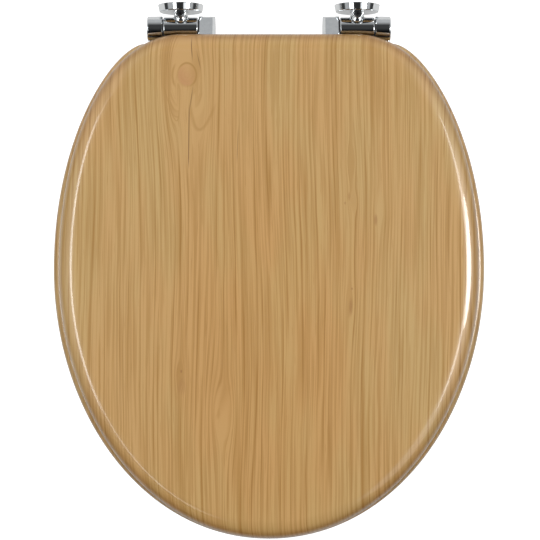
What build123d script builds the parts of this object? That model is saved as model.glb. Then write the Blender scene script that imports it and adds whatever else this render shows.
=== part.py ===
from build123d import *
import math
import os

os.makedirs("parts", exist_ok=True)

# Toilet seat: a wooden lid and ring on two soft-close hinges.
# The lid is closed and both hinge pillars are folded back, foot to the rear.
# +X right, +Y rear, +Z up; the ring's buffers stand on Z = 0. Millimetres.

# Lid panel
lid_width = 367.0
lid_length = 440.0
lid_thickness = 14.0
lid_shoulder_width = 16.5
lid_shoulder_height = 11.0
lid_under_round = 2.5
lid_rear_flat = 151.6
lid_rear_handle = 62.5
lid_side_rear_handle = 119.4
lid_side_front_handle = 124.5
lid_front_handle = 107.0

# Ring panel
ring_width = 379.0
ring_length = 436.0
ring_thickness = 15.0
ring_top_round = 6.0
ring_under_round = 3.5
ring_rear_flat = 215.6
ring_rear_handle = 26.8
ring_side_rear_handle = 121.8
ring_side_front_handle = 125.4
ring_front_handle = 111.7

# Opening in the ring
opening_width = 226.0
opening_front_rail = 66.0
opening_rear_rail = 92.0
opening_rear_flat = 40.0
opening_rear_handle = 48.0
opening_side_rear_handle = 58.0
opening_side_front_handle = 92.0
opening_front_handle = 74.0

# Where the panels lie behind and below the hinge axis
widest_setback = 212.0
opening_widest_setback = 202.0
lid_setback = 6.5
ring_setback = 13.0

# Heights
foot_drop = 21.0
seat_buffer_height = 10.5
lid_buffer_height = 5.5

# Hinge pillars
hinge_spacing = 155.0
barrel_radius = 9.7
barrel_length = 30.0
barrel_end_round = 0.8
flange_foot_radius = 20.2
flange_top_radius = 18.8
flange_thickness = 6.5
flange_top_round = 1.0
flange_foot_round = 0.4
neck_radius = 6.0
neck_fillet = 2.0
neck_straight = 0.8
neck_flare = 1.9
lug_radius = 5.3
lug_reach = 13.7
lug_drop = 1.4
lug_edge_round = 1.0
lug_mouth_radius = 3.4
lug_mouth_depth = 2.0
lug_mouth_round = 0.8
fixing_bore_radius = 4.1
fixing_bore_depth = 12.0

# Foot gasket
gasket_radius = 18.4
gasket_thickness = 1.2
gasket_proud = 0.3
gasket_bore_gap = 0.9

# Lock screw in the lug
lock_screw_radius = 2.0
lock_screw_flange_gap = 0.3
lock_screw_sink = 0.4
lock_screw_socket = 2.0
lock_screw_socket_depth = 1.8

# Soft-close cartridge in the barrel
damper_radius = 6.95
damper_length = 20.0
damper_sink = 0.4
damper_floor = 3.0
damper_chamber_radius = 5.6
damper_cap_radius = 6.2
damper_cap_thickness = 2.5
damper_seal_thickness = 1.6
damper_key_width = 3.0
damper_key_height = 1.0
damper_shaft_radius = 3.6
damper_shaft_flats = 5.0
damper_shaft_reach = 11.0
damper_vane_width = 2.0
damper_rib_width = 2.4

# Pivot at the other end of the barrel
pivot_pin_radius = 3.0
pivot_pin_grip = 9.0
pivot_pin_reach = 9.6
pivot_bush_wall = 1.6
pivot_bush_length = 10.0
washer_radius = 8.0
washer_thickness = 0.8

# Arms
knuckle_gap = 0.9
knuckle_radius = 10.6
seat_knuckle_width = 13.5
lid_knuckle_width = 14.5
lid_knuckle_rear_height = 1.8
lid_knuckle_slope_start = 7.0
lid_knuckle_rear_bevel = 1.4
lid_knuckle_far_bevel = 2.4
lid_knuckle_near_bevel = 0.6
seat_knuckle_round = 1.2
seat_knuckle_bevel = 0.5
heel_angle = 66.0
arm_plate_start = 16.0
arm_plate_length = 38.0
arm_plate_round = 8.0
lid_plate_width = 26.0
lid_plate_thickness = 4.0
seat_plate_width = 26.0
seat_plate_thickness = 3.2

# Wood screws
arm_screw_radius = 1.9
arm_screw_head_radius = 3.6
arm_screw_length = 12.0
arm_screw_margin = 9.0
buffer_screw_radius = 1.6
buffer_screw_head_radius = 3.2
buffer_screw_head_height = 2.0
buffer_screw_bite = 8.0
screw_tip = 2.5

# Buffers
seat_buffer_length = 42.0
seat_buffer_width = 15.0
seat_buffer_edge = 1.5
lid_buffer_length = 30.0
lid_buffer_width = 12.0
lid_buffer_edge = 1.0
front_buffer_setback = 110.0
front_buffer_inset = 22.0
front_buffer_turn = 62.0
rear_buffer_lead = 128.0
rear_buffer_inset = 34.0
rear_buffer_turn = 122.0
lid_buffer_setback = 140.0
lid_buffer_inset = 40.0
lid_buffer_turn = 52.0

# Clearances
running_fit = 0.06
push_fit = 0.03
screw_fit = 0.05
bore_end_play = 0.3
cut_margin = 3.0

# How near an edge's radius must be to the one looked for, and the least lean of a sloping face
radius_match = 0.001
slope_least = 0.1

# Places worked out from the sizes above
axis_z = foot_drop
front_reach = max(lid_setback + lid_length, ring_setback + ring_length)
axis_y = (front_reach - foot_drop) / 2
wide_y = axis_y - widest_setback
lid_rear = axis_y - lid_setback
lid_front = lid_rear - lid_length
ring_rear = axis_y - ring_setback
ring_front = ring_rear - ring_length
ring_bottom = seat_buffer_height
ring_top = ring_bottom + ring_thickness
lid_bottom = ring_top + lid_buffer_height
metal_foot = foot_drop - gasket_proud
flange_top = metal_foot - flange_thickness
lug_distance = flange_top - lug_drop
lock_screw_distance = flange_top - lock_screw_radius - lock_screw_flange_gap
barrel_half = barrel_length / 2
knuckle_start = barrel_half + knuckle_gap
damper_bore_radius = damper_radius + push_fit
damper_bore_depth = damper_length + 2 * damper_sink
pivot_bush_radius = pivot_pin_radius + running_fit + pivot_bush_wall
arm_plate_end = arm_plate_start + arm_plate_length
band_middle = (ring_width + opening_width) / 4

# Each hinge: name, the middle of its barrel, and the way to the seat's middle
hinges = [("left", -hinge_spacing / 2, 1), ("right", hinge_spacing / 2, -1)]


def panel_outline(width, rear_flat, handles, y_rear, y_wide, y_front):
    """Edges of an egg-shaped panel with a straight rear, from two curves a side."""
    half = width / 2
    flat = rear_flat / 2
    rear, side_rear, side_front, front = handles
    with BuildLine() as outline:
        Line((-flat, y_rear), (flat, y_rear))
        for side in (1, -1):
            Bezier(
                (side * flat, y_rear),
                (side * (flat + rear), y_rear),
                (side * half, y_wide + side_rear),
                (side * half, y_wide),
            )
            Bezier(
                (side * half, y_wide),
                (side * half, y_wide - side_front),
                (side * front, y_front),
                (0, y_front),
            )
    return outline.edges()


def plate_screws(knuckle_middle):
    """Places of the two screws along an arm's plate."""
    near = axis_y - arm_plate_start - arm_screw_margin
    far = axis_y - arm_plate_end + arm_screw_margin
    return [(knuckle_middle, near), (knuckle_middle, far)]


def lid_knuckle_middle(x_barrel, inward):
    """Middle of the lid arm's knuckle, on the inner end of a barrel."""
    return x_barrel + inward * (knuckle_start + lid_knuckle_width / 2)


def seat_knuckle_middle(x_barrel, inward):
    """Middle of the seat arm's knuckle, on the outer end of a barrel."""
    return x_barrel - inward * (knuckle_start + seat_knuckle_width / 2)


lid_arm_screw_places = []
seat_arm_screw_places = []
for side_name, x_barrel, inward in hinges:
    lid_arm_screw_places += plate_screws(lid_knuckle_middle(x_barrel, inward))
    seat_arm_screw_places += plate_screws(seat_knuckle_middle(x_barrel, inward))

# Buffers: name, x, y and the turn of the long side from +X
seat_buffers = []
for side_name, side in (("left", -1), ("right", 1)):
    front_turn = 90 - side * (90 - front_buffer_turn)
    rear_turn = 90 - side * (90 - rear_buffer_turn)
    front_x = side * (band_middle - front_buffer_inset)
    rear_x = side * (band_middle - rear_buffer_inset)
    seat_buffers.append(("front_" + side_name, front_x, wide_y - front_buffer_setback, front_turn))
    seat_buffers.append(("rear_" + side_name, rear_x, wide_y + rear_buffer_lead, rear_turn))

lid_buffers = []
for side_name, side in (("left", -1), ("right", 1)):
    lid_turn = 90 - side * (90 - lid_buffer_turn)
    lid_x = side * (band_middle - lid_buffer_inset)
    lid_buffers.append((side_name, lid_x, wide_y - lid_buffer_setback, lid_turn))

seat_buffer_screw_places = [(x, y) for buffer_name, x, y, turn in seat_buffers]
lid_buffer_screw_places = [(x, y) for buffer_name, x, y, turn in lid_buffers]


# Lid: one panel with a wide flattened round along its top edge
lid_handles = (lid_rear_handle, lid_side_rear_handle, lid_side_front_handle, lid_front_handle)
lid_outline = panel_outline(lid_width, lid_rear_flat, lid_handles, lid_rear, wide_y, lid_front)
arm_pilot_radius = arm_screw_radius + screw_fit
buffer_pilot_radius = buffer_screw_radius + screw_fit
arm_pilot_depth = arm_screw_length + screw_fit

with BuildPart() as lid:
    with BuildSketch(Plane.XY.offset(lid_bottom)):
        make_face(lid_outline)
    extrude(amount=lid_thickness)
    fillet(lid.faces().sort_by(Axis.Z)[0].edges(), radius=lid_under_round)
    # Shoulder: what lies outside a quarter of an ellipse, swept along the top edge
    top_rim = Wire(lid.faces().sort_by(Axis.Z)[-1].edges())
    with BuildSketch(Plane((0, lid_rear, lid_bottom + lid_thickness), x_dir=(0, 1, 0), z_dir=(1, 0, 0))):
        with BuildLine():
            EllipticalCenterArc(
                (-lid_shoulder_width, -lid_shoulder_height),
                lid_shoulder_width,
                lid_shoulder_height,
                start_angle=0,
                arc_size=90,
            )
            Polyline(
                (-lid_shoulder_width, 0),
                (-lid_shoulder_width, cut_margin),
                (cut_margin, cut_margin),
                (cut_margin, -lid_shoulder_height),
                (0, -lid_shoulder_height),
            )
        make_face()
    sweep(path=top_rim, mode=Mode.SUBTRACT)
    with BuildSketch(Plane.XY.offset(lid_bottom)):
        with Locations(*lid_arm_screw_places):
            Circle(arm_pilot_radius)
    extrude(amount=arm_pilot_depth - lid_plate_thickness, mode=Mode.SUBTRACT)
    with BuildSketch(Plane.XY.offset(lid_bottom)):
        with Locations(*lid_buffer_screw_places):
            Circle(buffer_pilot_radius)
    extrude(amount=buffer_screw_bite + screw_fit, mode=Mode.SUBTRACT)

lid.part.label = "lid"
export_step(lid.part, "parts/lid.step")


# Ring: a wider panel with an egg-shaped opening and rounded edges
ring_handles = (ring_rear_handle, ring_side_rear_handle, ring_side_front_handle, ring_front_handle)
ring_outline = panel_outline(ring_width, ring_rear_flat, ring_handles, ring_rear, wide_y, ring_front)
opening_handles = (
    opening_rear_handle,
    opening_side_rear_handle,
    opening_side_front_handle,
    opening_front_handle,
)
opening_outline = panel_outline(
    opening_width,
    opening_rear_flat,
    opening_handles,
    ring_rear - opening_rear_rail,
    axis_y - opening_widest_setback,
    ring_front + opening_front_rail,
)

with BuildPart() as seat_ring:
    with BuildSketch(Plane.XY.offset(ring_bottom)):
        make_face(ring_outline)
        make_face(opening_outline, mode=Mode.SUBTRACT)
    extrude(amount=ring_thickness)
    fillet(seat_ring.faces().sort_by(Axis.Z)[-1].edges(), radius=ring_top_round)
    fillet(seat_ring.faces().sort_by(Axis.Z)[0].edges(), radius=ring_under_round)
    with BuildSketch(Plane.XY.offset(ring_bottom)):
        with Locations(*seat_arm_screw_places):
            Circle(arm_pilot_radius)
    extrude(amount=arm_pilot_depth - seat_plate_thickness, mode=Mode.SUBTRACT)
    with BuildSketch(Plane.XY.offset(ring_bottom)):
        with Locations(*seat_buffer_screw_places):
            Circle(buffer_pilot_radius)
    extrude(amount=buffer_screw_bite + screw_fit, mode=Mode.SUBTRACT)

seat_ring.part.label = "seat_ring"
export_step(seat_ring.part, "parts/seat_ring.step")


# Buffers: soft pads, each with a counterbored hole for its screw
def buffer_pad(x, y, turn, pad_length, pad_width, edge, bottom, height):
    """A pad with rounded ends; its screw head sinks into the lower side."""
    with BuildPart() as pad:
        with BuildSketch(Plane.XY.offset(bottom)):
            with Locations((x, y)):
                SlotOverall(pad_length, pad_width, rotation=turn)
        extrude(amount=height)
        fillet(pad.faces().sort_by(Axis.Z)[0].edges(), radius=edge)
        with BuildSketch(Plane.XY.offset(bottom)):
            with Locations((x, y)):
                Circle(buffer_screw_head_radius + screw_fit)
        extrude(amount=height / 2, mode=Mode.SUBTRACT)
        with BuildSketch(Plane.XY.offset(bottom)):
            with Locations((x, y)):
                Circle(buffer_pilot_radius)
        extrude(amount=height, mode=Mode.SUBTRACT)
    return pad.part


for buffer_name, x, y, turn in seat_buffers:
    seat_buffer = buffer_pad(
        x, y, turn, seat_buffer_length, seat_buffer_width, seat_buffer_edge, 0, seat_buffer_height
    )
    seat_buffer.label = "seat_buffer_" + buffer_name
    export_step(seat_buffer, "parts/seat_buffer_" + buffer_name + ".step")

for buffer_name, x, y, turn in lid_buffers:
    lid_buffer = buffer_pad(
        x, y, turn, lid_buffer_length, lid_buffer_width, lid_buffer_edge, ring_top, lid_buffer_height
    )
    lid_buffer.label = "lid_buffer_" + buffer_name
    export_step(lid_buffer, "parts/lid_buffer_" + buffer_name + ".step")


def pan_screws(places, head_seat, shank_end):
    """Pan-head screws that point up, their heads seated under head_seat."""
    lowest = head_seat - buffer_screw_head_height
    with BuildPart() as screws:
        with BuildSketch(Plane.XY.offset(lowest)):
            with Locations(*places):
                Circle(buffer_screw_head_radius)
        extrude(amount=buffer_screw_head_height)
        with BuildSketch(Plane.XY.offset(head_seat)):
            with Locations(*places):
                Circle(buffer_screw_radius)
        extrude(amount=shank_end - head_seat)
        chamfer(screws.faces().group_by(Axis.Z)[-1].edges(), length=buffer_screw_radius / 2)
    return screws.part


seat_buffer_screws = pan_screws(
    seat_buffer_screw_places, seat_buffer_height / 2, ring_bottom + buffer_screw_bite
)
seat_buffer_screws.label = "seat_buffer_screws"
export_step(seat_buffer_screws, "parts/seat_buffer_screws.step")

lid_buffer_screws = pan_screws(
    lid_buffer_screw_places, ring_top + lid_buffer_height / 2, lid_bottom + buffer_screw_bite
)
lid_buffer_screws.label = "lid_buffer_screws"
export_step(lid_buffer_screws, "parts/lid_buffer_screws.step")


def countersunk_screws(places, lowest):
    """Countersunk wood screws that point up, heads flush with the height lowest."""
    head_height = arm_screw_head_radius - arm_screw_radius
    shank_length = arm_screw_length - head_height - screw_tip
    with BuildPart() as screws:
        with Locations(*[(x, y, lowest) for x, y in places]):
            Cone(
                arm_screw_head_radius,
                arm_screw_radius,
                head_height,
                align=(Align.CENTER, Align.CENTER, Align.MIN),
            )
        with Locations(*[(x, y, lowest + head_height) for x, y in places]):
            Cylinder(
                arm_screw_radius, shank_length, align=(Align.CENTER, Align.CENTER, Align.MIN)
            )
        with Locations(*[(x, y, lowest + head_height + shank_length) for x, y in places]):
            Cone(
                arm_screw_radius,
                arm_screw_radius / 4,
                screw_tip,
                align=(Align.CENTER, Align.CENTER, Align.MIN),
            )
    return screws.part


def countersinks(places, lowest, thickness):
    """The solid that a plate loses to its countersunk screws."""
    head_height = arm_screw_head_radius - arm_screw_radius
    with BuildPart() as sinks:
        with Locations(*[(x, y, lowest) for x, y in places]):
            Cone(
                arm_screw_head_radius + screw_fit,
                arm_pilot_radius,
                head_height,
                align=(Align.CENTER, Align.CENTER, Align.MIN),
            )
            Cylinder(arm_pilot_radius, thickness, align=(Align.CENTER, Align.CENTER, Align.MIN))
    return sinks.part


def along_x(x):
    """The plane across the hinge axis at x, with +Y and +Z as its own axes."""
    return Plane((x, axis_y, axis_z), x_dir=(0, 1, 0), z_dir=(1, 0, 0))


def across_pillar(x_barrel, distance):
    """The plane across a pillar, at a distance from the hinge axis towards the foot."""
    return Plane((x_barrel, axis_y + distance, axis_z), x_dir=(1, 0, 0), z_dir=(0, 1, 0))


def round_edges(builder, radius):
    """The circular edges of a part that have the given radius."""
    circles = builder.edges().filter_by(GeomType.CIRCLE)
    return circles.filter_by(lambda edge: abs(edge.radius - radius) < radius_match)


def sloping_face(builder):
    """The largest flat face of a part that looks up and to the rear."""
    flat_faces = builder.faces().filter_by(GeomType.PLANE)
    sloping = [face for face in flat_faces if min(face.normal_at().Y, face.normal_at().Z) > slope_least]
    return max(sloping, key=lambda face: face.area)


def arm_bore(x_face, direction):
    """The hole in an arm's knuckle, which goes in from x_face.

    The damper is at the +X end of each barrel, so an arm there fits the flatted shaft.
    An arm at the other end takes the bush of the pivot pin.
    """
    with BuildPart() as bore:
        with BuildSketch(along_x(x_face)):
            if direction > 0:
                Circle(damper_shaft_radius + push_fit)
                Rectangle(
                    2 * knuckle_radius, damper_shaft_flats + 2 * push_fit, mode=Mode.INTERSECT
                )
            else:
                Circle(pivot_bush_radius + push_fit)
        if direction > 0:
            extrude(amount=damper_shaft_reach + bore_end_play)
        else:
            extrude(amount=-(pivot_bush_length + bore_end_play))
    return bore.part


for side_name, x_barrel, inward in hinges:
    barrel_low = x_barrel - barrel_half
    barrel_high = x_barrel + barrel_half
    pillar_line = Axis((x_barrel, axis_y, axis_z), (0, 1, 0))

    # Hinge pillar: one casting with barrel, neck, lug and foot flange
    with BuildPart() as hinge_pillar:
        with BuildSketch(along_x(barrel_low)):
            Circle(barrel_radius)
        extrude(amount=barrel_length)
        fillet(hinge_pillar.edges().filter_by(GeomType.CIRCLE), radius=barrel_end_round)
        # Neck and flange, turned about the pillar's line
        with BuildSketch(Plane((x_barrel, axis_y, axis_z))):
            with BuildLine():
                Polyline(
                    (neck_radius, flange_top - neck_fillet),
                    (neck_radius, flange_top - neck_fillet - neck_straight),
                )
                TangentArc(
                    (neck_radius, flange_top - neck_fillet - neck_straight),
                    (neck_radius + neck_flare, flange_top - neck_fillet - neck_straight - neck_flare),
                    tangent=(0, -1),
                )
                Polyline(
                    (neck_radius + neck_flare, flange_top - neck_fillet - neck_straight - neck_flare),
                    (neck_radius + neck_flare, barrel_radius / 2),
                    (0, barrel_radius / 2),
                    (0, metal_foot),
                    (flange_foot_radius, metal_foot),
                    (flange_top_radius, flange_top),
                    (neck_radius + neck_fillet, flange_top),
                )
                TangentArc(
                    (neck_radius + neck_fillet, flange_top),
                    (neck_radius, flange_top - neck_fillet),
                    tangent=(-1, 0),
                )
            make_face()
        revolve(axis=pillar_line)
        fillet(round_edges(hinge_pillar, flange_top_radius), radius=flange_top_round)
        fillet(round_edges(hinge_pillar, flange_foot_radius), radius=flange_foot_round)
        # Lug for the lock screw, with a sunk mouth that opens to the flange and a rounded rim
        with BuildSketch(Plane.XY.offset(axis_z)):
            with Locations((x_barrel, axis_y + lug_distance)):
                Circle(lug_radius)
        extrude(amount=lug_reach)
        lug_face = hinge_pillar.faces().filter_by(Plane.XY).sort_by(Axis.Z)[-1]
        fillet(lug_face.edges().filter_by(GeomType.CIRCLE), radius=lug_edge_round)
        with BuildSketch(Plane.XY.offset(axis_z + lug_reach)):
            with Locations((x_barrel, axis_y + lug_distance)):
                Circle(lug_mouth_radius)
            with Locations((x_barrel, axis_y + flange_top)):
                Rectangle(
                    2 * lug_radius, 2 * lug_radius, align=(Align.CENTER, Align.MAX), mode=Mode.INTERSECT
                )
        extrude(amount=-lug_mouth_depth, mode=Mode.SUBTRACT)
        fillet(round_edges(hinge_pillar, lug_mouth_radius).sort_by(Axis.Z)[-1], radius=lug_mouth_round)
        # Bore and keyway for the damper, then the hole for the pivot pin
        with BuildSketch(along_x(barrel_high)):
            Circle(damper_bore_radius)
            with Locations((-damper_radius, 0)):
                Rectangle(2 * (damper_key_height + push_fit), damper_key_width + 2 * push_fit)
        extrude(amount=-damper_bore_depth, mode=Mode.SUBTRACT)
        with BuildSketch(along_x(barrel_low)):
            Circle(pivot_pin_radius + push_fit)
        extrude(amount=barrel_length - damper_bore_depth, mode=Mode.SUBTRACT)
        # Foot: gasket recess and the bore for a fixing pin
        with BuildSketch(across_pillar(x_barrel, metal_foot)):
            Circle(gasket_radius + push_fit)
        extrude(amount=gasket_proud - gasket_thickness, mode=Mode.SUBTRACT)
        with BuildSketch(across_pillar(x_barrel, metal_foot)):
            Circle(fixing_bore_radius)
        extrude(amount=-fixing_bore_depth, mode=Mode.SUBTRACT)
        # Threaded hole for the lock screw
        with BuildSketch(Plane.XY.offset(axis_z)):
            with Locations((x_barrel, axis_y + lock_screw_distance)):
                Circle(lock_screw_radius + screw_fit)
        extrude(amount=lug_reach, mode=Mode.SUBTRACT)

    hinge_pillar.part.label = side_name + "_hinge_pillar"
    export_step(hinge_pillar.part, "parts/" + side_name + "_hinge_pillar.step")

    # Gasket under the foot
    with BuildPart() as base_gasket:
        with BuildSketch(across_pillar(x_barrel, foot_drop)):
            Circle(gasket_radius)
            Circle(fixing_bore_radius + gasket_bore_gap, mode=Mode.SUBTRACT)
        extrude(amount=-gasket_thickness)

    base_gasket.part.label = side_name + "_base_gasket"
    export_step(base_gasket.part, "parts/" + side_name + "_base_gasket.step")

    # Lock screw: a headless screw with a six-sided socket
    lock_screw_top = axis_z + lug_reach - lug_mouth_depth - lock_screw_sink
    lock_screw_tip = axis_z + fixing_bore_radius
    with BuildPart() as lock_screw:
        with BuildSketch(Plane.XY.offset(lock_screw_tip)):
            with Locations((x_barrel, axis_y + lock_screw_distance)):
                Circle(lock_screw_radius)
        extrude(amount=lock_screw_top - lock_screw_tip)
        chamfer(lock_screw.edges().group_by(Axis.Z)[0], length=lock_screw_radius / 4)
        with BuildSketch(Plane.XY.offset(lock_screw_top)):
            with Locations((x_barrel, axis_y + lock_screw_distance)):
                RegularPolygon(lock_screw_socket / 2, 6, major_radius=False)
        extrude(amount=-lock_screw_socket_depth, mode=Mode.SUBTRACT)

    lock_screw.part.label = side_name + "_lock_screw"
    export_step(lock_screw.part, "parts/" + side_name + "_lock_screw.step")

    # Damper cartridge: keyed cup with a fixed rib, closed by a cap behind a seal
    damper_out = barrel_high - damper_sink
    damper_in = damper_out - damper_length
    chamber_in = damper_in + damper_floor
    cap_in = damper_out - damper_cap_thickness
    seal_in = cap_in - damper_seal_thickness - push_fit
    with BuildPart() as damper_body:
        with BuildSketch(along_x(damper_in)):
            Circle(damper_radius)
            with Locations((-damper_radius, 0)):
                Rectangle(2 * damper_key_height, damper_key_width)
        extrude(amount=damper_length)
        with BuildSketch(along_x(chamber_in)):
            Circle(damper_chamber_radius)
        extrude(amount=damper_length, mode=Mode.SUBTRACT)
        with BuildSketch(along_x(cap_in)):
            Circle(damper_cap_radius + push_fit)
        extrude(amount=damper_length, mode=Mode.SUBTRACT)
        with BuildSketch(along_x(chamber_in)):
            Circle(damper_chamber_radius + push_fit)
            Circle(damper_shaft_radius + running_fit, mode=Mode.SUBTRACT)
            with Locations((0, -damper_chamber_radius)):
                Rectangle(damper_rib_width, 2 * damper_chamber_radius, mode=Mode.INTERSECT)
        extrude(amount=seal_in - chamber_in - running_fit)

    damper_body.part.label = side_name + "_damper_body"
    export_step(damper_body.part, "parts/" + side_name + "_damper_body.step")

    # Damper shaft: one vane in the chamber, two flats in the arm
    shaft_in = chamber_in + running_fit
    shaft_shoulder = x_barrel + knuckle_start
    with BuildPart() as damper_shaft:
        with BuildSketch(along_x(shaft_in)):
            Circle(damper_shaft_radius)
        extrude(amount=shaft_shoulder - shaft_in)
        with BuildSketch(along_x(shaft_in)):
            Circle(damper_chamber_radius - running_fit)
            with Locations((0, damper_chamber_radius)):
                Rectangle(damper_vane_width, 2 * damper_chamber_radius, mode=Mode.INTERSECT)
        extrude(amount=seal_in - shaft_in - running_fit)
        with BuildSketch(along_x(shaft_shoulder)):
            Circle(damper_shaft_radius)
            Rectangle(3 * damper_shaft_radius, damper_shaft_flats, mode=Mode.INTERSECT)
        extrude(amount=damper_shaft_reach)

    damper_shaft.part.label = side_name + "_damper_shaft"
    export_step(damper_shaft.part, "parts/" + side_name + "_damper_shaft.step")

    with BuildPart() as damper_cap:
        with BuildSketch(along_x(cap_in)):
            Circle(damper_cap_radius)
            Circle(damper_shaft_radius + running_fit, mode=Mode.SUBTRACT)
        extrude(amount=damper_cap_thickness)

    damper_cap.part.label = side_name + "_damper_cap"
    export_step(damper_cap.part, "parts/" + side_name + "_damper_cap.step")

    with BuildPart() as damper_seal:
        with BuildSketch(along_x(seal_in)):
            Circle(damper_chamber_radius - push_fit)
            Circle(damper_shaft_radius + running_fit, mode=Mode.SUBTRACT)
        extrude(amount=damper_seal_thickness)

    damper_seal.part.label = side_name + "_damper_seal"
    export_step(damper_seal.part, "parts/" + side_name + "_damper_seal.step")

    # Thrust washer between the barrel's damper end and the arm there
    washer_play = (knuckle_gap - washer_thickness) / 2
    with BuildPart() as thrust_washer:
        with BuildSketch(along_x(barrel_high + washer_play)):
            Circle(washer_radius)
            Circle(damper_shaft_radius + running_fit, mode=Mode.SUBTRACT)
        extrude(amount=washer_thickness)

    thrust_washer.part.label = side_name + "_thrust_washer"
    export_step(thrust_washer.part, "parts/" + side_name + "_thrust_washer.step")

    # Pivot pin, held in the barrel's other end, and its flanged bush
    pin_end = barrel_low - knuckle_gap - pivot_pin_reach
    with BuildPart() as pivot_pin:
        with BuildSketch(along_x(pin_end)):
            Circle(pivot_pin_radius)
        extrude(amount=pivot_pin_reach + knuckle_gap + pivot_pin_grip)
        chamfer(pivot_pin.edges().filter_by(GeomType.CIRCLE), length=pivot_pin_radius / 8)

    pivot_pin.part.label = side_name + "_pivot_pin"
    export_step(pivot_pin.part, "parts/" + side_name + "_pivot_pin.step")

    with BuildPart() as pivot_bush:
        with BuildSketch(along_x(barrel_low - washer_play)):
            Circle(washer_radius)
        extrude(amount=-washer_thickness)
        with BuildSketch(along_x(barrel_low - washer_play)):
            Circle(pivot_bush_radius)
        extrude(amount=washer_play - knuckle_gap - pivot_bush_length)
        with BuildSketch(along_x(barrel_low - washer_play)):
            Circle(pivot_pin_radius + running_fit)
        extrude(amount=-(knuckle_gap + pivot_bush_length), mode=Mode.SUBTRACT)

    pivot_bush.part.label = side_name + "_pivot_bush"
    export_step(pivot_bush.part, "parts/" + side_name + "_pivot_bush.step")

    # Lid arm: a squared knuckle with a sloping, bevelled top that runs into a plate under the lid
    lid_knuckle_face = x_barrel + inward * knuckle_start
    lid_plate_bottom = lid_bottom - lid_plate_thickness
    plate_middle = axis_y - (arm_plate_start + arm_plate_end) / 2
    lid_screws_here = plate_screws(lid_knuckle_middle(x_barrel, inward))
    arm_top = lid_bottom - axis_z
    with BuildPart() as lid_arm:
        with BuildSketch(along_x(lid_knuckle_face)):
            with BuildLine():
                Polyline(
                    (knuckle_radius, 0),
                    (knuckle_radius, lid_knuckle_rear_height),
                    (-lid_knuckle_slope_start, arm_top),
                    (-arm_plate_start - arm_plate_round, arm_top),
                    (-arm_plate_start - arm_plate_round, arm_top - lid_plate_thickness),
                    (-arm_plate_start, arm_top - lid_plate_thickness),
                    (-knuckle_radius, 0),
                )
                ThreePointArc((-knuckle_radius, 0), (0, -knuckle_radius), (knuckle_radius, 0))
            make_face()
        extrude(amount=inward * lid_knuckle_width)
        slope_edges = sloping_face(lid_arm).edges()
        chamfer(slope_edges.sort_by(Axis.Y)[-1], length=lid_knuckle_rear_bevel)
        slope_edges = sloping_face(lid_arm).edges()
        chamfer(slope_edges.sort_by(Axis.X)[-1 if inward > 0 else 0], length=lid_knuckle_far_bevel)
        slope_edges = sloping_face(lid_arm).edges()
        chamfer(slope_edges.sort_by(Axis.X)[0 if inward > 0 else -1], length=lid_knuckle_near_bevel)
        with BuildSketch(Plane.XY.offset(lid_plate_bottom)):
            with Locations((lid_knuckle_middle(x_barrel, inward), plate_middle)):
                RectangleRounded(lid_plate_width, arm_plate_length, arm_plate_round)
        extrude(amount=lid_plate_thickness)
        add(arm_bore(lid_knuckle_face, inward), mode=Mode.SUBTRACT)
        add(countersinks(lid_screws_here, lid_plate_bottom, lid_plate_thickness), mode=Mode.SUBTRACT)

    lid_arm.part.label = side_name + "_lid_arm"
    export_step(lid_arm.part, "parts/" + side_name + "_lid_arm.step")

    lid_arm_screws = countersunk_screws(lid_screws_here, lid_plate_bottom)
    lid_arm_screws.label = side_name + "_lid_arm_screws"
    export_step(lid_arm_screws, "parts/" + side_name + "_lid_arm_screws.step")

    # Seat arm: a round knuckle whose foot steps down to a plate under the ring
    seat_knuckle_face = x_barrel - inward * knuckle_start
    seat_plate_bottom = ring_bottom - seat_plate_thickness
    seat_screws_here = plate_screws(seat_knuckle_middle(x_barrel, inward))
    plate_top = ring_bottom - axis_z
    heel_x = knuckle_radius * math.cos(math.radians(heel_angle))
    heel_z = knuckle_radius * math.sin(math.radians(heel_angle))
    with BuildPart() as seat_arm:
        with BuildSketch(along_x(seat_knuckle_face)):
            Circle(knuckle_radius)
            with BuildLine():
                Polyline(
                    (0, 0),
                    (-knuckle_radius, 0),
                    (-knuckle_radius, plate_top),
                    (-arm_plate_start - arm_plate_round, plate_top),
                    (-arm_plate_start - arm_plate_round, plate_top - seat_plate_thickness),
                    (-heel_x, plate_top - seat_plate_thickness),
                    (heel_x, -heel_z),
                    (0, 0),
                )
            make_face()
        extrude(amount=-inward * seat_knuckle_width)
        end_faces = seat_arm.faces().filter_by(Plane.YZ).sort_by(Axis.X)
        fillet(end_faces[-1 if inward < 0 else 0].edges(), radius=seat_knuckle_round)
        end_faces = seat_arm.faces().filter_by(Plane.YZ).sort_by(Axis.X)
        near_rim = end_faces[0 if inward < 0 else -1].edges().filter_by(GeomType.CIRCLE)
        chamfer(near_rim, length=seat_knuckle_bevel)
        with BuildSketch(Plane.XY.offset(seat_plate_bottom)):
            with Locations((seat_knuckle_middle(x_barrel, inward), plate_middle)):
                RectangleRounded(seat_plate_width, arm_plate_length, arm_plate_round)
        extrude(amount=seat_plate_thickness)
        add(arm_bore(seat_knuckle_face, -inward), mode=Mode.SUBTRACT)
        add(countersinks(seat_screws_here, seat_plate_bottom, seat_plate_thickness), mode=Mode.SUBTRACT)

    seat_arm.part.label = side_name + "_seat_arm"
    export_step(seat_arm.part, "parts/" + side_name + "_seat_arm.step")

    seat_arm_screws = countersunk_screws(seat_screws_here, seat_plate_bottom)
    seat_arm_screws.label = side_name + "_seat_arm_screws"
    export_step(seat_arm_screws, "parts/" + side_name + "_seat_arm_screws.step")
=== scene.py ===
import math

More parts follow.
